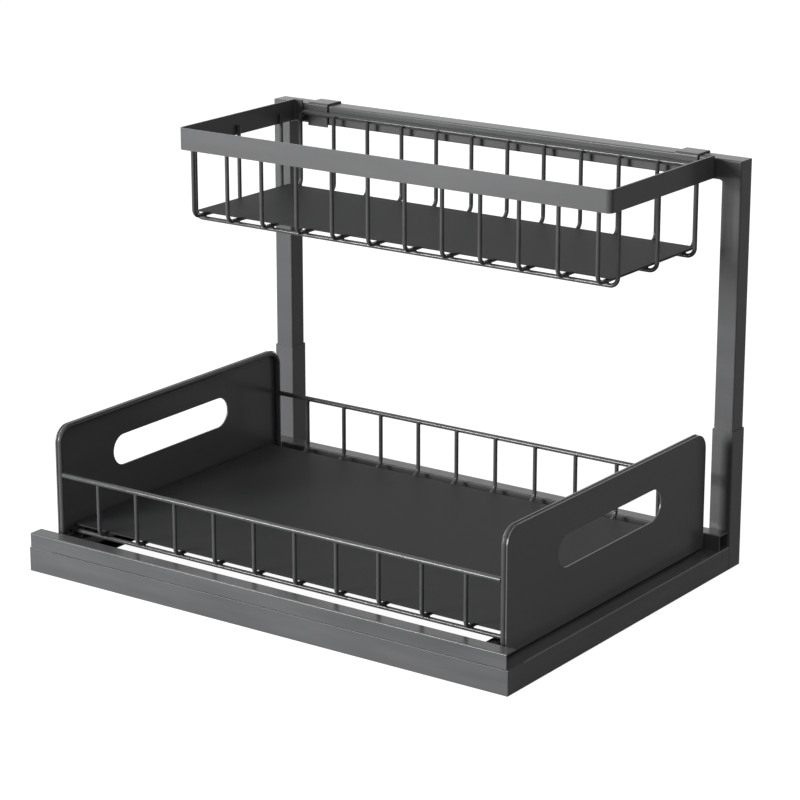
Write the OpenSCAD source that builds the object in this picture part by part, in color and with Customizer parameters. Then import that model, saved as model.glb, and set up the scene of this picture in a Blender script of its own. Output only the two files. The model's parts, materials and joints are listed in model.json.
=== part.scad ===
// Two-tier pull-out cabinet basket. A base frame with two rear posts and a top beam
// carries a lower basket on a ball-bearing tray and an upper basket hooked over the beam.
// X runs to the right, Y to the back and Z up. The origin is the middle of the base, on the floor.

/* [Base frame] */
// Overall width of the base
base_w = 400; // [340:1:480]
// Overall depth of the base
base_d = 300; // [270:1:380]
// Height of the side rails and the front bar
rail_h = 17.2; // [14:0.1:24]
// Width of a side rail and depth of the front bar
rail_w = 18.7; // [16:0.1:26]
// Thickness of the folded sheet
sheet_t = 0.8; // [0.6:0.1:1.5]
// Inner radius of the bends in the folded sheet
bend_inner_r = 0.2; // [0.2:0.1:1]
// Radius of the front bar's upper edge, which is pressed sharp under the drawer front
front_edge_r = 0.3; // [0.2:0.1:1]
// Depth of the rear crossbar
crossbar_d = 12.4; // [9:0.1:18]
// Height of the rear crossbar above the side rails
crossbar_rise = 11; // [9:0.1:16]
// Inset of the crossbar's ends from the sides of the base
crossbar_inset = 1; // [0.5:0.1:6]

/* [Posts and top beam] */
// Height of the post sleeves
sleeve_h = 101; // [60:1:160]
// Wall of a post sleeve
sleeve_wall = 0.7; // [0.6:0.1:1.5]
// Side of a post's square tube
post_size = 15; // [12:0.5:20]
// Wall of the post and beam tubes
post_wall = 0.8; // [0.6:0.1:1.2]
// Inner corner radius of the square tubes
tube_inner_r = 0.2; // [0.2:0.1:0.8]
// Radius of the weld fillets where the posts meet the beam
corner_weld_r = 2; // [1.5:0.5:5]
// Thickness of those fillets at their thin edges
corner_weld_tip = 0.3; // [0.2:0.1:0.6]
// Distance of those fillets from the front and the back of the beam
corner_weld_inset = 1.5; // [1.5:0.1:4]
// Clearance between a post and its sleeve
post_clearance = 0.1; // [0.05:0.05:0.3]
// Height of the top beam above the floor
frame_h = 292; // [260:1:400]
// Height of the top beam's tube
beam_h = 14.5; // [12:0.5:20]

/* [Slides and tray] */
// Travel of the tray
slide_travel = 200; // [120:5:205]
// Outer width of a slide channel
channel_w = 13.4; // [12.8:0.1:15]
// Outer height of a slide channel
channel_h = 5.6; // [5.4:0.1:7]
// Thickness of the slide sheet
slide_t = 1; // [0.8:0.1:1.1]
// Width of the lips that turn inward at the top of a slide channel
channel_lip = 2.4; // [2:0.1:2.5]
// Distance of the slide channels from the front of the base
channel_setback = 3; // [2:0.1:10]
// Width of a runner between its rows of balls
runner_w = 5.6; // [5.2:0.1:5.7]
// Height of a runner's body
runner_body_h = 2.2; // [1.8:0.1:2.3]
// Width of a runner's neck
runner_neck_w = 5; // [4:0.1:5.1]
// Height of a runner above its slide channel
runner_rise = 0.8; // [0.5:0.1:2]
// Diameter of a slide ball
ball_d = 2.4; // [2:0.1:2.4]
// Drop of the balls below the middle of the runner's body
ball_drop = 0.2; // [0:0.1:0.3]
// Number of balls in a row
balls_per_row = 6; // [3:1:8]
// Distance between the balls of a row
ball_pitch = 10.5; // [6:0.5:12]
// Clearance that the runner, the balls and the cage need in the channel
slide_clearance = 0.25; // [0.2:0.01:0.3]
// Gap between a runner's body and the lips above it
runner_roof_gap = 0.4; // [0.3:0.1:0.5]
// Thickness of a ball cage
cage_t = 0.3; // [0.2:0.1:0.4]
// Width of the upright strips that hold the balls in a cage
cage_strip_w = 1; // [0.8:0.1:1.2]
// Length of a cage beyond its outer balls
cage_end = 4; // [2.5:0.5:8]
// Distance of a cage from the front of its channel when the tray is open
cage_open_gap = 2; // [1:0.5:10]
// Shank diameter of a slide screw
slide_screw_d = 2.6; // [2:0.1:3]
// Head diameter of a slide screw
slide_screw_head_d = 4.6; // [4:0.1:5]
// Length of a slide screw
slide_screw_l = 5; // [4:0.5:8]
// Distance of the outer slide screws from the ends of a channel
slide_screw_end = 24; // [15:1:60]
// Gap between a slide channel and the rim wire beside it
slide_side_gap = 0.7; // [0.5:0.1:2]
// Thickness of the stop pads behind the runners
pad_t = 1.2; // [0.8:0.1:3]
// Height of the drawer front
drawer_front_h = 10.3; // [9:0.1:14]
// Depth of the flange on top of the drawer front
drawer_front_d = 11.1; // [8:0.1:14]
// Gap between the drawer front and the front bar below it
drawer_front_gap = 0.5; // [0.3:0.1:1.5]
// Inset of the drawer front's ends from the sides of the base
drawer_front_inset = 1.2; // [0.5:0.1:3]
// Thickness of the bracket between a runner and the drawer front
bracket_t = 0.8; // [0.6:0.1:1]
// Height of the strip that joins the rear ends of the runners
rear_strip_h = 4.8; // [3:0.1:6]

/* [Lower basket] */
// Plain ledge of the side rail outside a side panel
ledge_w = 12.1; // [8:0.1:13]
// Distance of the side panels from the front of the base
lower_front_setback = 16.7; // [14:0.1:30]
// Gap between a side panel and the side rail
lower_panel_gap = 1.8; // [1:0.1:2.5]
// Height of a side panel
lower_panel_h = 84.4; // [70:0.1:110]
// Thickness of the panels and the floor sheets
panel_t = 1; // [0.8:0.1:1.2]
// Radius of a side panel's upper corners
lower_corner_r = 12; // [9:0.5:18]
// Length of the hand slot in a side panel
slot_l = 130.4; // [90:0.5:150]
// Height of the hand slot
slot_h = 22.7; // [18:0.1:28]
// Distance of the hand slot from the top of its panel
slot_drop = 22.9; // [15:0.1:26]
// Diameter of the rim wires
rim_wire_d = 4; // [3:0.1:4.5]
// Inset of the rim wire's centre from the edge of its panel
rim_wire_inset = 1.5; // [1:0.1:3]
// Bend radius at the rim wire's lower corners
rim_wire_lower_r = 5; // [4:0.5:10]
// Diameter of the top wires at the front and the back
top_wire_d = 3.6; // [3:0.1:4.5]
// Height of the top wires above the lower edge of the side panels
top_wire_rise = 49.7; // [35:0.1:60]
// Diameter of the hoops and of the cross wires
hoop_d = 3; // [2.5:0.1:3.5]
// Number of hoops in the lower basket
lower_hoop_count = 10; // [6:1:12]
// Bend radius of the lower hoops
lower_hoop_r = 5.5; // [4:0.1:7]
// Distance of the front cross wire from the hoops' front legs
lower_cross_front_inset = 7.4; // [7:0.1:14]
// Distance of the back cross wire from the hoops' back legs
lower_cross_back_inset = 9.2; // [7:0.1:14]
// Distance of the floor sheet from the hoops' front legs
lower_floor_front_inset = 5.6; // [5.5:0.1:9]
// Distance of the floor sheet from the hoops' back legs
lower_floor_back_inset = 9.7; // [5.5:0.1:14]
// Gap between the floor sheet and the side rim wires
lower_floor_side_gap = 1; // [0.5:0.1:3]
// Gap between the lower basket and the strip behind it
lower_back_gap = 1.2; // [0.8:0.1:3]

/* [Upper basket] */
// Depth of the upper basket's rim
upper_d = 136.3; // [100:0.1:200]
// Gap between the upper basket's rim and the top beam
upper_back_gap = 0.4; // [0.3:0.1:2]
// Gap between the upper basket's rim and a post
upper_side_gap = 4.8; // [2:0.1:10]
// Height of the rim strip
strip_h = 15.7; // [14:0.1:24]
// Height of the rim strip above the top beam
strip_rise = 2.3; // [1.8:0.1:4]
// Thickness of the rim strip
strip_t = 1.2; // [0.8:0.1:1.5]
// Outer radius of the rim strip's front corners
strip_front_r = 4; // [2:0.1:10]
// Outer radius of the rim strip's rear corners
strip_rear_r = 2; // [1.6:0.1:3]
// Width of the flanges that turn inward at the rim strip's rear ends
strip_flange_w = 8; // [5:0.1:10]
// Height of the upper basket from its lowest wire to the top of its rim
upper_h = 68.7; // [55:0.1:120]
// Diameter of the back rod
back_rod_d = 4; // [3:0.1:4.5]
// Distance of the back rod's centre from the top of the rim
back_rod_drop = 8.3; // [6:0.1:9]
// Distance of the back rod's legs from the inside of the rim strip
back_rod_side_inset = 7.2; // [6:0.1:7.5]
// Bend radius at the back rod's ends, which reach the lower edge of the rim
back_rod_r = 5; // [4:0.5:6]
// Number of hoops that run from the front to the back
upper_hoop_count = 12; // [8:1:14]
// Distance of the outer hoops from the inside of the rim strip
upper_hoop_side_inset = 9.6; // [9:0.1:14]
// Bend radius of the upper hoops
upper_hoop_r = 6; // [4:0.1:8]
// Number of hoops that run from side to side
side_hoop_count = 3; // [2:1:4]
// Distance of the first side-to-side hoop from the front legs
side_hoop_front_inset = 12.3; // [9:0.1:20]
// Distance of the last side-to-side hoop from the back legs
side_hoop_back_inset = 13.5; // [9:0.1:20]
// Distance of the upper floor sheet from the front legs
upper_floor_front_inset = 10.4; // [8.5:0.1:14]
// Distance of the upper floor sheet from the back legs
upper_floor_back_inset = 8.2; // [8:0.1:14]
// Gap between the upper floor sheet and the side legs
upper_floor_side_gap = 0.9; // [0.5:0.1:2]
// Width of a hook
hook_w = 17.5; // [12:0.5:24]
// Thickness of a hook
hook_t = 1.2; // [1:0.1:1.5]
// Inner radius of a hook's bends
hook_inner_r = 0.8; // [0.5:0.1:1.5]
// Distance of a hook's middle from the inside of its post
hook_inset = 27.2; // [24:0.1:60]
// Depth of a hook's plate below the underside of the beam
hook_plate_drop = 1.5; // [0:0.1:10]
// Depth of a hook's rear lip below the top of the beam
hook_lip_h = 12; // [6:0.5:14]

/* [Fits] */
// Gap at a spot weld between two wires or a wire and a sheet
weld_gap = 0.1; // [0.05:0.01:0.2]
// Gap between two pieces that rest on each other and can be lifted apart
seat_gap = 0.3; // [0.2:0.05:0.5]
// Clearance of a ball in the diameter of its hole in the cage
ball_clearance = 0.1; // [0.05:0.05:0.15]
// Clearance around the shank of a screw
screw_clearance = 0.1; // [0.05:0.05:0.2]

/* [Hidden] */
$fn = 32;

steel = "#47484a";
dark_steel = "#2e2f31";
black_zinc = "#3c3d3f";
ball_steel = "#c4c6c8";
black_rubber = "#1b1b1c";
cut = 1;

// The base: its outer faces, and the posts inside their sleeves
side_x = base_w / 2;
front_y = -base_d / 2;
back_y = base_d / 2;
sleeve_size = post_size + 2 * (post_clearance + sleeve_wall);
sleeve_x = side_x - sleeve_size;
sleeve_y = back_y - sleeve_size;
post_inset = sleeve_wall + post_clearance;
post_x = side_x - post_inset - post_size;
beam_y = back_y - post_inset - post_size;
bend_r = sheet_t + bend_inner_r;
post_corner_r = post_wall + tube_inner_r;
crossbar_y = sleeve_y - crossbar_d;
crossbar_top = rail_h + crossbar_rise;

// The lower basket's sides, which the slides lie inside of
panel_x = side_x - ledge_w;
rim_wire_x = panel_x - panel_t - weld_gap - rim_wire_d / 2;

// The slides
slide_x = rim_wire_x - rim_wire_d / 2 - slide_side_gap - channel_w / 2;
channel_front_y = front_y + channel_setback;
runner_back_y = crossbar_y - pad_t - seat_gap;
channel_back_y = runner_back_y;
channel_floor_z = rail_h + slide_t;
channel_top_z = rail_h + channel_h;
runner_front_y = front_y + sheet_t;
runner_top_z = channel_top_z + runner_rise;
runner_body_top_z = channel_top_z - slide_t - runner_roof_gap;
ball_x = runner_w / 2 + slide_clearance + ball_d / 2;
ball_z = runner_body_top_z - runner_body_h / 2 - ball_drop;
cage_floor_z = channel_floor_z + slide_clearance;
cage_top_z = channel_top_z - slide_t - slide_clearance;
cage_l = (balls_per_row - 1) * ball_pitch + 2 * cage_end;
cage_front_y = channel_front_y + slide_travel / 2 + cage_open_gap;
slide_screw_ys = [for (i = [0 : 2])
    channel_front_y + slide_screw_end
    + i * (channel_back_y - channel_front_y - 2 * slide_screw_end) / 2];

// The drawer front and the strip behind the lower basket
drawer_front_z = rail_h + drawer_front_gap;
drawer_front_top = drawer_front_z + drawer_front_h;
rear_strip_y = runner_back_y - sheet_t;

// The lower basket
lower_front_y = front_y + lower_front_setback;
lower_back_y = rear_strip_y - lower_back_gap;
lower_panel_z = rail_h + lower_panel_gap;
lower_panel_top = lower_panel_z + lower_panel_h;
lower_cross_z = runner_top_z + seat_gap + hoop_d / 2;
lower_hoop_z = lower_cross_z + hoop_d + weld_gap;
lower_floor_z = lower_hoop_z + hoop_d / 2 + weld_gap;
rim_wire_z = lower_cross_z - hoop_d / 2 - weld_gap - rim_wire_d / 2;
rim_wire_top_z = lower_panel_top - rim_wire_inset;
rim_wire_front_y = lower_front_y + rim_wire_inset;
rim_wire_back_y = lower_back_y - rim_wire_inset;
top_wire_z = lower_panel_z + top_wire_rise;
top_wire_end_x = rim_wire_x - rim_wire_d / 2 - weld_gap;
lower_leg_offset = top_wire_d / 2 + weld_gap + hoop_d / 2;
lower_leg_front_y = rim_wire_front_y + lower_leg_offset;
lower_leg_back_y = rim_wire_back_y - lower_leg_offset;
lower_hoop_pitch = 2 * panel_x / (lower_hoop_count + 1);
slot_z = lower_panel_top - slot_drop - slot_h;
slot_mid_y = (lower_front_y + lower_back_y) / 2;

// The upper basket
strip_x = post_x - upper_side_gap;
strip_inner_x = strip_x - strip_t;
strip_back_y = beam_y - upper_back_gap;
strip_front_y = strip_back_y - upper_d;
strip_top = frame_h + strip_rise;
back_rod_y = strip_back_y - strip_t - weld_gap - back_rod_d / 2;
back_rod_z = strip_top - back_rod_drop;
back_rod_x = strip_inner_x - back_rod_side_inset;
side_hoop_z = strip_top - upper_h + hoop_d / 2;
upper_hoop_z = side_hoop_z + hoop_d + weld_gap;
upper_floor_z = upper_hoop_z + hoop_d / 2 + weld_gap;
side_leg_x = strip_inner_x - weld_gap - hoop_d / 2;
upper_leg_front_y = strip_front_y + strip_t + weld_gap + hoop_d / 2;
upper_leg_back_y = back_rod_y - back_rod_d / 2 - weld_gap - hoop_d / 2;
upper_hoop_x = strip_inner_x - upper_hoop_side_inset;
upper_hoop_pitch = 2 * upper_hoop_x / (upper_hoop_count - 1);
side_hoop_first_y = upper_leg_front_y + side_hoop_front_inset;
side_hoop_last_y = upper_leg_back_y - side_hoop_back_inset;
side_hoop_pitch = (side_hoop_last_y - side_hoop_first_y) / (side_hoop_count - 1);

// The hooks, which stand behind the back rod and reach over the beam
hook_front_y = back_rod_y + back_rod_d / 2 + weld_gap;
hook_back_y = beam_y + post_size + seat_gap + hook_t;
hook_top = frame_h + seat_gap + hook_t;
hook_plate_z = frame_h - beam_h - hook_plate_drop;
hook_lip_z = frame_h - hook_lip_h;
hook_x = post_x - hook_inset;
hook_bend_r = hook_t + hook_inner_r;

// Draws its children on the right for side 1 and mirrored to the left for side -1
module on_side(side) {
    if (side < 0) mirror([1, 0, 0]) children();
    else children();
}

// Extrudes an outline in X and Z from y0 back to y1
module along_y(y0, y1) {
    translate([0, y1, 0]) rotate([90, 0, 0]) linear_extrude(height = y1 - y0) children();
}

// Extrudes an outline in Y and Z from x0 right to x1
module along_x(x0, x1) {
    translate([x0, 0, 0]) rotate([90, 0, 90]) linear_extrude(height = x1 - x0) children();
}

// Extrudes an outline in X and Y from z0 up to z1
module along_z(z0, z1) {
    translate([0, 0, z0]) linear_extrude(height = z1 - z0) children();
}

// A rectangle between two corners
module rect(x0, y0, x1, y1) {
    translate([x0, y0]) square([x1 - x0, y1 - y0]);
}

// A rectangle between two corners, with all its corners rounded
module round_rect(x0, y0, x1, y1, r) {
    rect(x0 + r, y0, x1 - r, y1);
    rect(x0, y0 + r, x1, y1 - r);
    for (x = [x0 + r, x1 - r], y = [y0 + r, y1 - r]) translate([x, y]) circle(r = r);
}

// A straight wire along X
module wire_x(x0, x1, d) {
    translate([x0, 0, 0]) rotate([0, 90, 0]) cylinder(h = x1 - x0, d = d);
}

// A quarter bend of a wire in the XZ plane, which starts at the given angle
module wire_bend(r, d, start) {
    rotate([90, 0, 0]) rotate([0, 0, start]) rotate_extrude(angle = 90)
        translate([r, 0]) circle(d = d);
}

// A U of wire in the XZ plane: its run lies on X from 0 to span, its legs rise to leg_h
module u_wire(span, leg_h, r, d) {
    wire_x(r, span - r, d);
    for (x = [0, span]) translate([x, 0, r]) cylinder(h = leg_h - r, d = d);
    translate([r, 0, r]) wire_bend(r, d, 180);
    translate([span - r, 0, r]) wire_bend(r, d, 270);
}

// A closed ring of wire in the XZ plane with larger bends at its two upper corners
module ring_wire(span, height, lower_r, upper_r, d) {
    wire_x(lower_r, span - lower_r, d);
    translate([0, 0, height]) wire_x(upper_r, span - upper_r, d);
    for (x = [0, span]) translate([x, 0, lower_r]) cylinder(h = height - lower_r - upper_r, d = d);
    translate([lower_r, 0, lower_r]) wire_bend(lower_r, d, 180);
    translate([span - lower_r, 0, lower_r]) wire_bend(lower_r, d, 270);
    translate([span - upper_r, 0, height - upper_r]) wire_bend(upper_r, d, 0);
    translate([upper_r, 0, height - upper_r]) wire_bend(upper_r, d, 90);
}

// The hollow front bar is open below, and its ends are closed
module base_front_bar() {
    color(steel) difference() {
        along_x(-side_x, side_x) intersection() {
            round_rect(front_y, -2 * front_edge_r, front_y + rail_w + 2 * front_edge_r, rail_h,
                front_edge_r);
            rect(front_y, 0, front_y + rail_w, rail_h);
        }
        along_x(-side_x + sheet_t, side_x - sheet_t)
            round_rect(front_y + sheet_t, -cut - 2 * bend_inner_r,
                front_y + rail_w - sheet_t, rail_h - sheet_t, bend_inner_r);
    }
}

// The rail is a channel that opens inward, and its upper flange widens under the slide
module base_side_rail(side) {
    inner_x = side_x - rail_w;
    shelf_x = slide_x - channel_w / 2;
    color(dark_steel) on_side(side) difference() {
        union() {
            along_y(front_y + rail_w, sleeve_y) difference() {
                intersection() {
                    round_rect(inner_x - 2 * bend_r, -2 * bend_r, side_x, rail_h, bend_r);
                    rect(inner_x, 0, side_x, rail_h);
                }
                round_rect(inner_x - 2 * bend_r, sheet_t, side_x - sheet_t, rail_h - sheet_t, bend_inner_r);
            }
            along_z(rail_h - sheet_t, rail_h)
                rect(shelf_x, front_y + rail_w, inner_x, runner_back_y);
        }
        for (y = slide_screw_ys) translate([slide_x, y, rail_h - sheet_t - cut])
            cylinder(h = sheet_t + 2 * cut, d = slide_screw_d + 2 * screw_clearance);
    }
}

// The crossbar is open below and at its ends, where its upper part passes over the rails
module base_rear_crossbar() {
    color(dark_steel) difference() {
        union() {
            along_x(-side_x + rail_w, side_x - rail_w)
                rect(crossbar_y, 0, sleeve_y, rail_h);
            along_x(-side_x + crossbar_inset, side_x - crossbar_inset) intersection() {
                round_rect(crossbar_y, 0, sleeve_y, crossbar_top, bend_r);
                rect(crossbar_y, rail_h, sleeve_y, crossbar_top);
            }
        }
        along_x(-side_x, side_x)
            round_rect(crossbar_y + sheet_t, -cut - 2 * bend_inner_r,
                sleeve_y - sheet_t, crossbar_top - sheet_t, bend_inner_r);
    }
}

// A square tube that is closed below and holds the foot of a post
module post_sleeve(side) {
    outer_r = sleeve_wall + tube_inner_r;
    color(steel) on_side(side) difference() {
        along_z(0, sleeve_h) round_rect(sleeve_x, sleeve_y, side_x, back_y, outer_r);
        along_z(sheet_t, sleeve_h + cut)
            round_rect(sleeve_x + sleeve_wall, sleeve_y + sleeve_wall,
                side_x - sleeve_wall, back_y - sleeve_wall, tube_inner_r);
    }
}

// The mitre between a post and the top beam, drawn as the half that belongs to the post
module post_half() {
    along_y(beam_y - cut, beam_y + post_size + cut) polygon([
        [post_x - cut, 0],
        [post_x - cut, frame_h - beam_h - cut * beam_h / post_size],
        [post_x + post_size + cut, frame_h + cut * beam_h / post_size],
        [post_x + post_size + cut, 0],
    ]);
}

// A square tube from the sleeve's floor up to the mitre
module post(side) {
    color(steel) on_side(side) intersection() {
        along_z(sheet_t, frame_h) difference() {
            round_rect(post_x, beam_y, post_x + post_size, beam_y + post_size, post_corner_r);
            round_rect(post_x + post_wall, beam_y + post_wall,
                post_x + post_size - post_wall, beam_y + post_size - post_wall, tube_inner_r);
        }
        post_half();
    }
}

// The hollow-faced weld fillet under the beam's end, against the inside of the post
module corner_weld() {
    weld_z = frame_h - beam_h;
    reach = corner_weld_r + corner_weld_tip;
    along_y(beam_y + corner_weld_inset, beam_y + post_size - corner_weld_inset) difference() {
        rect(post_x - reach, weld_z - reach, post_x, weld_z + post_wall / 2);
        translate([post_x - reach, weld_z - reach]) circle(r = corner_weld_r);
    }
}

// The beam's tube meets both posts at a mitre, with a weld fillet in each corner
module top_beam() {
    color(steel) union() {
        difference() {
            along_x(-post_x - post_size, post_x + post_size) difference() {
                round_rect(beam_y, frame_h - beam_h, beam_y + post_size, frame_h, post_corner_r);
                round_rect(beam_y + post_wall, frame_h - beam_h + post_wall,
                    beam_y + post_size - post_wall, frame_h - post_wall, tube_inner_r);
            }
            for (side = [-1, 1]) on_side(side) post_half();
        }
        for (side = [-1, 1]) on_side(side) corner_weld();
    }
}

// A slide's fixed channel lies on the side rail and opens upward between its lips
module slide_channel(side) {
    lip_x = channel_w / 2 - slide_t - channel_lip;
    color(black_zinc) on_side(side) translate([slide_x, 0, 0]) difference() {
        along_y(channel_front_y, channel_back_y) difference() {
            rect(-channel_w / 2, rail_h, channel_w / 2, channel_top_z);
            rect(slide_t - channel_w / 2, channel_floor_z, channel_w / 2 - slide_t, channel_top_z - slide_t);
            rect(-lip_x, channel_floor_z, lip_x, channel_top_z + cut);
        }
        for (y = slide_screw_ys) translate([0, y, 0]) slide_screw_shape(screw_clearance, cut);
    }
}

// A countersunk screw with its head flush in the channel's floor, grown by a clearance
module slide_screw_shape(grow, overrun) {
    shank_r = slide_screw_d / 2 + grow;
    head_r = slide_screw_head_d / 2 + grow;
    translate([0, 0, channel_floor_z - slide_screw_l]) cylinder(h = slide_screw_l, r = shank_r);
    translate([0, 0, rail_h]) cylinder(h = slide_t, r1 = shank_r, r2 = head_r);
    translate([0, 0, channel_floor_z]) cylinder(h = overrun, r = head_r);
}

// The screws that hold both channels to the side rails
module slide_screws() {
    color(black_zinc) for (side = [-1, 1], y = slide_screw_ys)
        translate([side * slide_x, y, 0]) slide_screw_shape(0, 0);
}

// A rubber pad on the crossbar behind each runner stops the closing tray
module slide_stop_pads() {
    color(black_rubber) for (side = [-1, 1])
        along_x(side * slide_x - runner_w / 2, side * slide_x + runner_w / 2)
            rect(runner_back_y + seat_gap, channel_floor_z + slide_clearance,
                crossbar_y, channel_top_z);
}

// The sliding runner has a neck that rises through the channel's opening
module slide_runner(side) {
    color(black_zinc) on_side(side) translate([slide_x, 0, 0]) along_y(runner_front_y, runner_back_y) {
        rect(-runner_w / 2, runner_body_top_z - runner_body_h, runner_w / 2, runner_body_top_z);
        rect(-runner_neck_w / 2, runner_body_top_z - runner_body_h, runner_neck_w / 2, runner_top_z);
    }
}

// The places of the balls along a slide
function ball_ys() = [for (i = [0 : balls_per_row - 1]) cage_front_y + cage_end + i * ball_pitch];

// A thin cage keeps both rows of balls apart and travels half as far as the tray
module ball_cage(side) {
    color(black_zinc) on_side(side) translate([slide_x, 0, 0]) difference() {
        along_y(cage_front_y, cage_front_y + cage_l) {
            rect(-ball_x - cage_strip_w / 2, cage_floor_z, ball_x + cage_strip_w / 2, cage_floor_z + cage_t);
            for (s = [-1, 1]) rect(s * ball_x - cage_strip_w / 2, cage_floor_z,
                s * ball_x + cage_strip_w / 2, cage_top_z);
        }
        for (y = ball_ys(), s = [-1, 1]) translate([s * ball_x - ball_d / 2, y, ball_z])
            rotate([0, 90, 0]) cylinder(h = ball_d, d = ball_d + ball_clearance);
    }
}

// Two rows of balls roll between the runner and the channel
module slide_balls(side) {
    color(ball_steel) on_side(side) for (y = ball_ys(), s = [-1, 1])
        translate([slide_x + s * ball_x, y, ball_z]) sphere(d = ball_d);
}

// The drawer front is folded sheet with a flange on top, and its ends are open
module drawer_front_bar() {
    color(steel) along_x(-side_x + drawer_front_inset, side_x - drawer_front_inset)
        intersection() {
            difference() {
                round_rect(front_y, drawer_front_z - 2 * bend_r,
                    front_y + drawer_front_d + 2 * bend_r, drawer_front_top, bend_r);
                round_rect(front_y + sheet_t, drawer_front_z - 4 * bend_r,
                    front_y + drawer_front_d + 4 * bend_r, drawer_front_top - sheet_t, bend_inner_r);
            }
            rect(front_y, drawer_front_z, front_y + drawer_front_d, drawer_front_top);
        }
}

// A folded bracket stands on the runner and carries the drawer front's flange
module drawer_front_bracket(side) {
    top_z = drawer_front_top - sheet_t;
    wall_y = front_y + bend_r;
    end_y = front_y + drawer_front_d;
    color(dark_steel) on_side(side) translate([slide_x, 0, 0])
        along_x(-channel_w / 2, channel_w / 2) {
            rect(wall_y, runner_top_z, wall_y + bracket_t, top_z);
            rect(wall_y, runner_top_z, end_y, runner_top_z + bracket_t);
            rect(wall_y, top_z - bracket_t, end_y, top_z);
        }
}

// A strip across the back of the tray joins the rear ends of both runners
module drawer_rear_strip() {
    end_x = slide_x + runner_neck_w / 2;
    color(dark_steel) along_x(-end_x, end_x)
        rect(rear_strip_y, runner_top_z, runner_back_y, runner_top_z + rear_strip_h);
}

// A side panel with rounded upper corners and a hand slot
module lower_side_panel(side) {
    slot_front_y = slot_mid_y - slot_l / 2;
    color(steel) on_side(side) along_x(panel_x - panel_t, panel_x) difference() {
        union() {
            round_rect(lower_front_y, lower_panel_z, lower_back_y, lower_panel_top, lower_corner_r);
            rect(lower_front_y, lower_panel_z, lower_back_y, lower_panel_top - lower_corner_r);
        }
        rect(slot_front_y + slot_h / 2, slot_z, slot_front_y + slot_l - slot_h / 2, slot_z + slot_h);
        for (y = [slot_front_y + slot_h / 2, slot_front_y + slot_l - slot_h / 2])
            translate([y, slot_z + slot_h / 2]) circle(d = slot_h);
    }
}

// A closed ring of wire stiffens a side panel from the inside
module lower_rim_wire(side) {
    color(dark_steel) on_side(side) translate([rim_wire_x, rim_wire_front_y, rim_wire_z])
        rotate([0, 0, 90]) ring_wire(rim_wire_back_y - rim_wire_front_y,
            rim_wire_top_z - rim_wire_z, rim_wire_lower_r,
            lower_corner_r - rim_wire_inset, rim_wire_d);
}

// A straight wire between the legs of both rim wires
module lower_top_wire(y) {
    color(dark_steel) translate([0, y, top_wire_z]) wire_x(-top_wire_end_x, top_wire_end_x, top_wire_d);
}

// The hoops run down the front, under the floor and up the back of the lower basket
module lower_hoops() {
    color(dark_steel) for (i = [1 : lower_hoop_count])
        translate([i * lower_hoop_pitch - panel_x, lower_leg_front_y, lower_hoop_z]) rotate([0, 0, 90])
            u_wire(lower_leg_back_y - lower_leg_front_y, top_wire_z - lower_hoop_z, lower_hoop_r, hoop_d);
}

// A wire under the hoops, which rests on the rim wires and on the runners
module lower_cross_wire(y) {
    end_x = panel_x - panel_t - weld_gap;
    color(dark_steel) translate([0, y, lower_cross_z]) wire_x(-end_x, end_x, hoop_d);
}

// The floor sheet of the lower basket lies on its hoops
module lower_floor_panel() {
    end_x = rim_wire_x - rim_wire_d / 2 - lower_floor_side_gap;
    color(steel) along_z(lower_floor_z, lower_floor_z + panel_t)
        rect(-end_x, lower_leg_front_y + lower_floor_front_inset,
            end_x, lower_leg_back_y - lower_floor_back_inset);
}

// The outline of the rim strip's outside, or of its inside when inset by its thickness
module strip_outline(inset) {
    union() {
        intersection() {
            round_rect(-strip_x + inset, strip_front_y + inset, strip_x - inset,
                strip_back_y + strip_front_r, strip_front_r - inset);
            rect(-strip_x, strip_front_y, strip_x, strip_back_y - 2 * strip_rear_r);
        }
        intersection() {
            round_rect(-strip_x + inset, strip_front_y + inset, strip_x - inset,
                strip_back_y - inset, strip_rear_r - inset);
            rect(-strip_x, strip_back_y - 2 * strip_rear_r, strip_x, strip_back_y);
        }
    }
}

// The rim strip goes round the sides and the front, and its rear ends turn inward
module upper_rim_strip() {
    open_x = strip_x - strip_flange_w;
    color(steel) along_z(strip_top - strip_h, strip_top) difference() {
        strip_outline(0);
        strip_outline(strip_t);
        rect(-open_x, strip_back_y - strip_t - cut, open_x, strip_back_y + cut);
    }
}

// The back rod runs along the beam, and its ends turn down to the rim's lower edge
module upper_back_rod() {
    color(dark_steel) translate([-back_rod_x, back_rod_y, back_rod_z]) mirror([0, 0, 1])
        u_wire(2 * back_rod_x, back_rod_z - strip_top + strip_h, back_rod_r, back_rod_d);
}

// The hoops that run from the rim strip's front under the floor and up to the back rod
module upper_hoops() {
    color(dark_steel) for (i = [0 : upper_hoop_count - 1])
        translate([i * upper_hoop_pitch - upper_hoop_x, upper_leg_front_y, upper_hoop_z]) rotate([0, 0, 90])
            u_wire(upper_leg_back_y - upper_leg_front_y, back_rod_z - upper_hoop_z, upper_hoop_r, hoop_d);
}

// The hoops that run from side to side under the others
module upper_side_hoops() {
    color(dark_steel) for (i = [0 : side_hoop_count - 1])
        translate([-side_leg_x, side_hoop_first_y + i * side_hoop_pitch, side_hoop_z])
            u_wire(2 * side_leg_x, back_rod_z - side_hoop_z, upper_hoop_r, hoop_d);
}

// The floor sheet of the upper basket lies on its hoops
module upper_floor_panel() {
    end_x = side_leg_x - hoop_d / 2 - upper_floor_side_gap;
    color(steel) along_z(upper_floor_z, upper_floor_z + panel_t)
        rect(-end_x, upper_leg_front_y + upper_floor_front_inset,
            end_x, upper_leg_back_y - upper_floor_back_inset);
}

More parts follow.
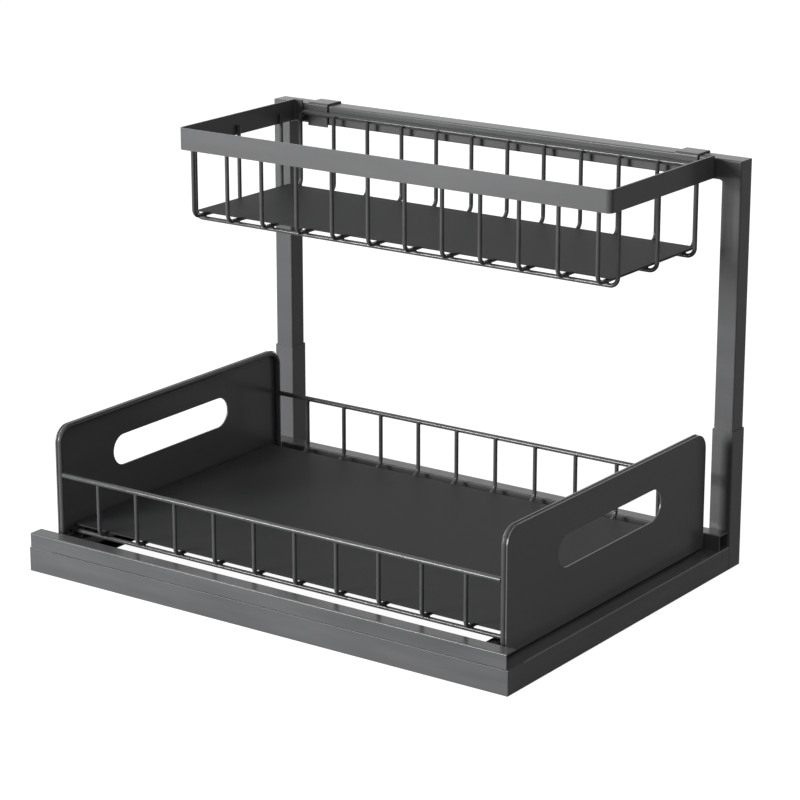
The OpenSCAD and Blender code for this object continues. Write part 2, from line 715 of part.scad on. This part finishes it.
// A hook of flat strip: a plate behind the back rod, a strap over the beam and a rear lip
module upper_hook(side) {
    color(steel) on_side(side) along_x(hook_x - hook_w / 2, hook_x + hook_w / 2) difference() {
        round_rect(hook_front_y, hook_plate_z - 2 * hook_bend_r, hook_back_y, hook_top, hook_bend_r);
        round_rect(hook_front_y + hook_t, hook_plate_z - 4 * hook_bend_r,
            hook_back_y - hook_t, hook_top - hook_t, hook_bend_r - hook_t);
        rect(hook_front_y - cut, hook_plate_z - 4 * hook_bend_r, hook_back_y + cut, hook_plate_z);
        rect(hook_back_y - hook_t - cut, hook_plate_z - cut, hook_back_y + cut, hook_lip_z);
    }
}

base_front_bar();
base_side_rail(-1);  // base_side_rail_left
base_side_rail(1);  // base_side_rail_right
base_rear_crossbar();
post_sleeve(-1);  // post_sleeve_left
post_sleeve(1);  // post_sleeve_right
post(-1);  // post_left
post(1);  // post_right
top_beam();
slide_channel(-1);  // slide_channel_left
slide_channel(1);  // slide_channel_right
slide_screws();
slide_stop_pads();
drawer_front_bar();
drawer_front_bracket(-1);  // drawer_front_bracket_left
drawer_front_bracket(1);  // drawer_front_bracket_right
slide_runner(-1);  // slide_runner_left
slide_runner(1);  // slide_runner_right
drawer_rear_strip();
ball_cage(-1);  // ball_cage_left
ball_cage(1);  // ball_cage_right
slide_balls(-1);  // slide_balls_left
slide_balls(1);  // slide_balls_right
lower_side_panel(-1);  // lower_side_panel_left
lower_side_panel(1);  // lower_side_panel_right
lower_rim_wire(-1);  // lower_rim_wire_left
lower_rim_wire(1);  // lower_rim_wire_right
lower_top_wire(rim_wire_front_y);  // lower_front_wire
lower_top_wire(rim_wire_back_y);  // lower_back_wire
lower_hoops();
lower_cross_wire(lower_leg_front_y + lower_cross_front_inset);  // lower_cross_wire_front
lower_cross_wire(lower_leg_back_y - lower_cross_back_inset);  // lower_cross_wire_back
lower_floor_panel();
upper_rim_strip();
upper_back_rod();
upper_hoops();
upper_side_hoops();
upper_floor_panel();
upper_hook(-1);  // upper_hook_left
upper_hook(1);  // upper_hook_right
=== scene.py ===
"""Finishes, weld beads, light and camera for the two-tier pull-out cabinet basket."""
import json
import math

import bmesh
import bpy
from mathutils import Matrix, Vector


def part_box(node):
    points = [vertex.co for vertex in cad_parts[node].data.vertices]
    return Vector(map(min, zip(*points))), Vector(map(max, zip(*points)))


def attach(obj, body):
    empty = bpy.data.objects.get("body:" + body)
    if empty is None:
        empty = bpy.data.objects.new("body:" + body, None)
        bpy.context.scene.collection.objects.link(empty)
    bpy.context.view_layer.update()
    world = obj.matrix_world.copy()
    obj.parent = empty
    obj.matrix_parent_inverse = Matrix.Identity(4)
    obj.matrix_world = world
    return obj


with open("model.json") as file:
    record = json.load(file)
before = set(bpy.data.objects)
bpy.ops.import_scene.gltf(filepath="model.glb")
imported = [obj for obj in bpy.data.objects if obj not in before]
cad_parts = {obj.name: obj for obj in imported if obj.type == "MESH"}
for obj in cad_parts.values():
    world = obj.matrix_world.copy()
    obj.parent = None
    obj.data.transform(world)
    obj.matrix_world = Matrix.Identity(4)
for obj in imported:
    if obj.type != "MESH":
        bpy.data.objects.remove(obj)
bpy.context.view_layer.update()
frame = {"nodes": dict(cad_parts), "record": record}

MM = 0.001
X, Y, Z = range(3)
ALONG_X = (1, 0, 0)
ALONG_Y = (0, 1, 0)
ALONG_Z = (0, 0, 1)

# Camera, fitted to the edges of the base, the posts and the baskets
CAMERA_PLACE = Vector((1.1001, -1.5400, 0.6873))
CAMERA_TURN = math.radians(35.25)
CAMERA_DIP = math.radians(16.61)
CAMERA_FOCAL_PX = 2850.1
CAMERA_NEAR = 0.05
CAMERA_FAR = 50.0
FRAME_PX = 800
SENSOR_MM = 36.0

# Wires of the baskets
HOOP_RADIUS = 1.5 * MM
LOWER_HOOPS = 10
UPPER_HOOPS = 12
SIDE_HOOPS = 3

# A weld bead's half axes, along the contact and across it, and the facets of its mesh
BEAD_HALF_WIDTH = 1.25 * MM
BEAD_HALF_DEPTH = 0.55 * MM
BEAD_SEGMENTS = 16
BEAD_RINGS = 10
# How far the lower hoops' beads lie below the middle of the top wires
TOP_WIRE_BEAD_DROP = HOOP_RADIUS / 2
# Share of the back rod's diameter between its top and the upper hoops' beads
ROD_BEAD_SHARE = 0.6
# From a hook's side to the bead that holds it to the back rod
HOOK_BEAD_INSET = 2 * BEAD_HALF_WIDTH

# Strength of the streaks in the satin coat, from 0 to 1
BAR_STREAKS = 1.0
SHEET_STREAKS = 0.25
# Folded bars, whose coat is the streaked one
FOLDED_BARS = ("base_front_bar", "drawer_front_bar", "base_side_rail_left",
               "base_side_rail_right", "base_rear_crossbar")
FLOOR_SHEET_ENDING = "floor_panel"

# Grain of the finishes, in bumps to the metre; three numbers are for X, Y and Z
STREAK_GRAIN = (9.0, 9.0, 70.0)
FLECK_GRAIN = 5200
PEEL_GRAIN = 950
WIRE_CLOUD_GRAIN = 60
WIRE_PEEL_GRAIN = 1500
SHEET_CLOUD_GRAIN = 9
SHEET_GRAIN = 2600
ZINC_CRYSTAL_GRAIN = 420.0
ZINC_LINE_GRAIN = (3000.0, 60.0, 3000.0)
GREASE_GRAIN = 900
RUBBER_GRAIN = 2200

# Height of the bumps in the finishes
ROLLING_HEIGHT = 0.01 * MM
PEEL_HEIGHT = 0.02 * MM
GRAIN_HEIGHT = 0.04 * MM

# Refractive index of the black coats, and a lower one for the dull coat's broken surface
COAT_IOR = 1.36
DULL_COAT_IOR = 1.2

# Studio floor: its own grey, and what it adds for the camera and for reflections
FLOOR_TONE = 0.3
FLOOR_GLOW = 0.95
FLOOR_GLOSS_GLOW = 0.22
FLOOR_SIZE = 12.0
FLOOR_DROP = 0.05 * MM

# Soft light from the world
WORLD_SOFT = 0.21

# Lamps: name, place, width, height and watts; each aims at the part's middle
LAMP_AIM = (0.0, 0.0, 0.14)
LAMPS = (
    ("front left softbox", (-1.23, -2.13, 0.60), 0.8, 1.1, 75),
    ("left fill", (-2.4, 0.3, 0.50), 0.9, 0.9, 14),
    ("back fill", (0.0, 2.4, 0.50), 0.9, 0.9, 16),
)


class Signal:
    """A socket in a tree; arithmetic on it adds Math nodes."""

    def __init__(self, shading, socket):
        self.shading = shading
        self.socket = socket

    def math(self, operation, first, second):
        return self.shading.node("ShaderNodeMath", {"operation": operation}, [first, second])

    def __add__(self, other):
        return self.math("ADD", self, other)

    __radd__ = __add__

    def __sub__(self, other):
        return self.math("SUBTRACT", self, other)

    def __rsub__(self, other):
        return self.math("SUBTRACT", other, self)

    def __mul__(self, other):
        return self.math("MULTIPLY", self, other)

    __rmul__ = __mul__

    def at_most(self, limit):
        return self.math("MINIMUM", self, limit)


class Shading:
    """The node tree of a material or of the world; one method makes all its nodes."""

    def __init__(self, owner):
        self.owner = owner
        owner.use_nodes = True
        self.tree = owner.node_tree
        self.tree.nodes.clear()

    def node(self, kind, settings=None, values=(), output=0):
        """Adds a node, sets it up, fills its sockets by index or name, returns one output."""
        node = self.tree.nodes.new(kind)
        for name, setting in (settings or {}).items():
            setattr(node, name, setting)
        pairs = values.items() if isinstance(values, dict) else enumerate(values)
        for key, value in pairs:
            if isinstance(value, Signal):
                self.tree.links.new(value.socket, node.inputs[key])
            else:
                node.inputs[key].default_value = value
        return Signal(self, node.outputs[output]) if node.outputs else None

    def place(self):
        """The point on the piece at rest, in metres."""
        return self.node("ShaderNodeTexCoord", output="Object")

    def stretched(self, per_metre):
        """The point on the piece, scaled by its own number of bumps to the metre on each axis."""
        return self.node("ShaderNodeMapping", None, {"Vector": self.place(), "Scale": per_metre})

    def noise(self, per_metre, detail=2.0, roughness=0.5, vector=None):
        """Noise from 0 to 1 with about this many bumps to the metre."""
        return self.node("ShaderNodeTexNoise", {"noise_dimensions": "3D"},
                         {"Vector": vector or self.place(), "Scale": per_metre,
                          "Detail": detail, "Roughness": roughness})

    def mix(self, amount, first, second):
        """A colour between two others."""
        return self.node("ShaderNodeMix", {"data_type": "RGBA", "clamp_factor": True},
                         {0: amount, 6: first, 7: second}, output=2)

    def bump(self, height, depth, strength):
        return self.node("ShaderNodeBump", None,
                         {"Height": height, "Distance": depth, "Strength": strength})

    def ray(self, kind):
        """1 for a ray of this kind and 0 for the others."""
        return self.node("ShaderNodeLightPath", output=f"Is {kind} Ray")

    def surface(self, **sockets):
        """Ends the tree in a Principled surface and returns the material."""
        names = {name.replace("_", " ").title().replace("Ior", "IOR"): value
                 for name, value in sockets.items()}
        shader = self.node("ShaderNodeBsdfPrincipled", None, names)
        self.node("ShaderNodeOutputMaterial", None, [shader])
        return self.owner


def new_finish(name):
    return Shading(bpy.data.materials.new(name))


def grey(value):
    return (value, value, value, 1.0)


def tint(red, green, blue):
    return (red, green, blue, 1.0)


def satin_coat(name, streaks):
    """Satin black powder coat with fine orange peel, and level streaks as strong as given."""
    f = new_finish(name)
    streak = f.noise(1.0, detail=3.0, roughness=0.55, vector=f.stretched(STREAK_GRAIN))
    fleck = f.noise(FLECK_GRAIN, detail=1.0)
    peel = f.noise(PEEL_GRAIN, detail=2.0)
    tone = (streak - 0.5) * (0.8 * streaks) + (fleck - 0.5) * 0.2 + 0.5
    return f.surface(
        base_color=f.mix(tone, tint(0.066, 0.067, 0.069), tint(0.178, 0.180, 0.184)),
        roughness=0.17 + streak * 0.10 + fleck * 0.05,
        metallic=0.0,
        ior=COAT_IOR,
        normal=f.bump(peel * 0.8 + fleck * 0.2, PEEL_HEIGHT, 0.4),
    )


def floor_coat_with_painted_shade():
    """The floor sheets' coat, duller and slightly rough to the touch, in a darker tone that is
    painted shade on the up-facing sheets.
    """
    f = new_finish("dull powder coat on floor sheet with painted shade")
    cloud = f.noise(SHEET_CLOUD_GRAIN, detail=3.0)
    grain = f.noise(SHEET_GRAIN, detail=2.0)
    return f.surface(
        # Painted shade: the same black paint as the satin coat, set darker for the up-facing
        # floor sheets
        base_color=f.mix(cloud * 0.6 + grain * 0.4,
                         tint(0.022, 0.023, 0.024), tint(0.045, 0.046, 0.048)),
        roughness=0.50 + cloud * 0.08 + grain * 0.08,
        metallic=0.0,
        ior=DULL_COAT_IOR,
        normal=f.bump(grain, GRAIN_HEIGHT, 0.5),
    )


def coated_wire():
    """Semi-gloss black coat on drawn wire."""
    f = new_finish("semi gloss coat on wire")
    cloud = f.noise(WIRE_CLOUD_GRAIN, detail=2.0)
    peel = f.noise(WIRE_PEEL_GRAIN, detail=2.0)
    return f.surface(
        base_color=f.mix(cloud, tint(0.068, 0.069, 0.071), tint(0.112, 0.114, 0.117)),
        roughness=0.09 + cloud * 0.06 + peel * 0.04,
        metallic=0.0,
        ior=COAT_IOR,
        normal=f.bump(peel, PEEL_HEIGHT, 0.5),
    )


def zinc_plate():
    """Black zinc plate on rolled steel: small cloudy crystals, fine lines along the rolling."""
    f = new_finish("black zinc plate on rolled steel")
    crystal = f.node("ShaderNodeTexVoronoi", {"feature": "F1"},
                     {"Vector": f.place(), "Scale": ZINC_CRYSTAL_GRAIN}, output="Color")
    patch = f.node("ShaderNodeRGBToBW", None, [crystal])
    lines = f.noise(1.0, detail=2.0, vector=f.stretched(ZINC_LINE_GRAIN))
    return f.surface(
        base_color=f.mix(patch, tint(0.050, 0.050, 0.053), tint(0.110, 0.110, 0.116)),
        roughness=0.26 + patch * 0.10 + lines * 0.10,
        metallic=1.0,
        normal=f.bump(lines, ROLLING_HEIGHT, 0.4),
    )


def bearing_steel():
    """Polished balls with a thin film of grease."""
    f = new_finish("polished bearing steel")
    film = f.noise(GREASE_GRAIN, detail=2.0)
    return f.surface(
        base_color=f.mix(film, tint(0.60, 0.60, 0.58), tint(0.78, 0.78, 0.78)),
        roughness=0.08 + film * 0.12,
        metallic=1.0,
    )


def stop_rubber():
    """Matt black rubber with a dusty grain."""
    f = new_finish("matt rubber")
    grain = f.noise(RUBBER_GRAIN, detail=3.0)
    return f.surface(
        base_color=f.mix(grain, tint(0.015, 0.015, 0.015), tint(0.035, 0.035, 0.034)),
        roughness=0.75 + grain * 0.2,
        normal=f.bump(grain, GRAIN_HEIGHT, 0.6),
    )


def dress_cad_nodes(wire_finish):
    """Gives every CAD node its slot's finish; floor sheets and folded bars have their own, the
    floor sheets' darker as painted shade.
    """
    by_slot = {
        "black_coated_sheet": satin_coat("satin powder coat", SHEET_STREAKS),
        "black_coated_wire": wire_finish,
        "zinc_plated_steel": zinc_plate(),
        "bearing_balls": bearing_steel(),
        "black_rubber": stop_rubber(),
    }
    # The floor sheets' finish is a darker copy of the coat: painted shade
    floor_finish_with_painted_shade = floor_coat_with_painted_shade()
    bar_finish = satin_coat("streaked satin powder coat on folded bars", BAR_STREAKS)
    for part in frame["record"]["subparts"]:
        name = part["node"]
        finish = by_slot[part["material_slot"]]
        if name.endswith(FLOOR_SHEET_ENDING):
            finish = floor_finish_with_painted_shade
        elif name in FOLDED_BARS:
            finish = bar_finish
        for slot in frame["nodes"][name].material_slots:
            slot.material = finish


def spread(low, high, count):
    """Places of a row of equal wires whose box runs from low to high."""
    first, last = low + HOOP_RADIUS, high - HOOP_RADIUS
    return [first + (last - first) * i / (count - 1) for i in range(count)]


def middle(node, axis):
    """The middle of a CAD node's box along one axis."""
    low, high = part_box(node)
    return (low[axis] + high[axis]) / 2


def weld_beads(name, body, finish, joints):
    """One piece with a small flattened bead at each joint, given as place and contact normal."""
    mesh = bmesh.new()
    size = Matrix.Diagonal((BEAD_HALF_WIDTH, BEAD_HALF_WIDTH, BEAD_HALF_DEPTH, 1.0))
    for place, normal in joints:
        turn = Vector(ALONG_Z).rotation_difference(Vector(normal)).to_matrix().to_4x4()
        bmesh.ops.create_uvsphere(mesh, u_segments=BEAD_SEGMENTS, v_segments=BEAD_RINGS,
                                  radius=1.0,
                                  matrix=Matrix.Translation(Vector(place)) @ turn @ size)
    for face in mesh.faces:
        face.smooth = True
    data = bpy.data.meshes.new(name)
    mesh.to_mesh(data)
    mesh.free()
    piece = bpy.data.objects.new(name, data)
    bpy.context.scene.collection.objects.link(piece)
    data.materials.append(finish)
    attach(piece, body)


def lower_basket_joints():
    """Where the lower basket's wires are welded to each other."""
    low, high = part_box("lower_hoops")
    hoop_xs = spread(low.x, high.x, LOWER_HOOPS)
    joints = []
    for cross in ("lower_cross_wire_front", "lower_cross_wire_back"):
        cross_low, cross_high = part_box(cross)
        y = middle(cross, Y)
        joints += [((x, y, cross_high.z), ALONG_Z) for x in hoop_xs]
        for rim in ("lower_rim_wire_left", "lower_rim_wire_right"):
            joints.append(((middle(rim, X), y, cross_low.z), ALONG_Z))
    # The hoops stand inside the top wires: behind the front one and before the back one
    for wire, side in (("lower_front_wire", 1), ("lower_back_wire", 0)):
        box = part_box(wire)
        z = middle(wire, Z)
        joints += [((x, box[side].y, z - TOP_WIRE_BEAD_DROP), ALONG_Y) for x in hoop_xs]
        joints += [((end.x, middle(wire, Y), z), ALONG_X) for end in box]
    return joints


def upper_basket_joints():
    """Where the upper basket's wires are welded to each other, the strip and the back rod."""
    low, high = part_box("upper_hoops")
    side_low, side_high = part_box("upper_side_hoops")
    rod_low, rod_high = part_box("upper_back_rod")
    rod_d = rod_high.y - rod_low.y
    hoop_xs = spread(low.x, high.x, UPPER_HOOPS)
    side_ys = spread(side_low.y, side_high.y, SIDE_HOOPS)
    seam_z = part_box("upper_rim_strip")[0].z + HOOP_RADIUS
    rod_seam_z = rod_high.z - rod_d * ROD_BEAD_SHARE
    joints = [((x, y, low.z), ALONG_Z) for x in hoop_xs for y in side_ys]
    joints += [((x, low.y, seam_z), ALONG_Y) for x in hoop_xs]
    joints += [((x, rod_low.y, rod_seam_z), ALONG_Y) for x in hoop_xs]
    joints += [((x, y, seam_z), ALONG_X) for x in (side_low.x, side_high.x) for y in side_ys]
    for hook in ("upper_hook_left", "upper_hook_right"):
        hook_low, hook_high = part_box(hook)
        for x in (hook_low.x + HOOK_BEAD_INSET, hook_high.x - HOOK_BEAD_INSET):
            joints.append(((x, rod_high.y, rod_high.z - rod_d / 2), ALONG_Y))
    return joints


def studio_floor():
    """A pale floor, white to the camera and mid grey in reflections, with a faint shadow."""
    f = new_finish("studio floor")
    clear = (f.ray("Camera") + f.ray("Transmission")).at_most(1.0)
    seen = (clear + f.ray("Glossy")).at_most(1.0)
    matt = f.node("ShaderNodeBsdfDiffuse", None, {"Color": grey(FLOOR_TONE)})
    glow_tone = f.mix(clear, grey(FLOOR_GLOSS_GLOW), grey(FLOOR_GLOW))
    glow = f.node("ShaderNodeEmission", None, {"Color": glow_tone, "Strength": 1.0})
    lit = f.node("ShaderNodeAddShader", None, [glow, matt])
    surface = f.node("ShaderNodeMixShader", None, [seen, matt, lit])
    f.node("ShaderNodeOutputMaterial", None, [surface])
    half = FLOOR_SIZE / 2
    corners = [(-half, -half, 0), (half, -half, 0), (half, half, 0), (-half, half, 0)]
    mesh = bpy.data.meshes.new("studio_floor")
    mesh.from_pydata(corners, [], [(0, 1, 2, 3)])
    mesh.materials.append(f.owner)
    plane = bpy.data.objects.new("studio_floor", mesh)
    plane.location.z = -FLOOR_DROP
    bpy.context.scene.collection.objects.link(plane)


def studio_world():
    """White wherever the camera, a gloss or a clear piece looks; a low grey for soft light."""
    f = Shading(bpy.data.worlds.new("studio"))
    bpy.context.scene.world = f.owner
    seen = (f.ray("Camera") + f.ray("Glossy") + f.ray("Transmission")).at_most(1.0)
    sky_tone = f.mix(seen, grey(WORLD_SOFT), grey(1.0))
    sky = f.node("ShaderNodeBackground", None, {"Color": sky_tone, "Strength": 1.0})
    f.node("ShaderNodeOutputWorld", None, [sky])


def studio_lamps():
    for name, place, width, height, watts in LAMPS:
        lamp = bpy.data.lights.new(name, "AREA")
        lamp.shape = "RECTANGLE"
        lamp.size = width
        lamp.size_y = height
        lamp.energy = watts
        holder = bpy.data.objects.new(name, lamp)
        holder.location = place
        aim = Vector(LAMP_AIM) - Vector(place)
        holder.rotation_euler = aim.to_track_quat("-Z", "Y").to_euler()
        bpy.context.scene.collection.objects.link(holder)


def photo_camera():
    """The photograph's viewing angle; the dip below level takes the place of a shift."""
    data = bpy.data.cameras.new("photo camera")
    data.sensor_width = SENSOR_MM
    data.lens = SENSOR_MM * CAMERA_FOCAL_PX / FRAME_PX
    data.clip_start = CAMERA_NEAR
    data.clip_end = CAMERA_FAR
    camera = bpy.data.objects.new("photo camera", data)
    camera.location = CAMERA_PLACE
    camera.rotation_euler = (math.pi / 2 - CAMERA_DIP, 0.0, CAMERA_TURN)
    bpy.context.scene.collection.objects.link(camera)
    bpy.context.scene.camera = camera


photo_camera()
wire_finish = coated_wire()
dress_cad_nodes(wire_finish)
weld_beads("lower_weld_beads", "lower_basket", wire_finish,
           lower_basket_joints())
weld_beads("upper_weld_beads", "upper_basket", wire_finish,
           upper_basket_joints())
studio_floor()
studio_world()
studio_lamps()
bpy.context.scene.view_settings.view_transform = "Standard"
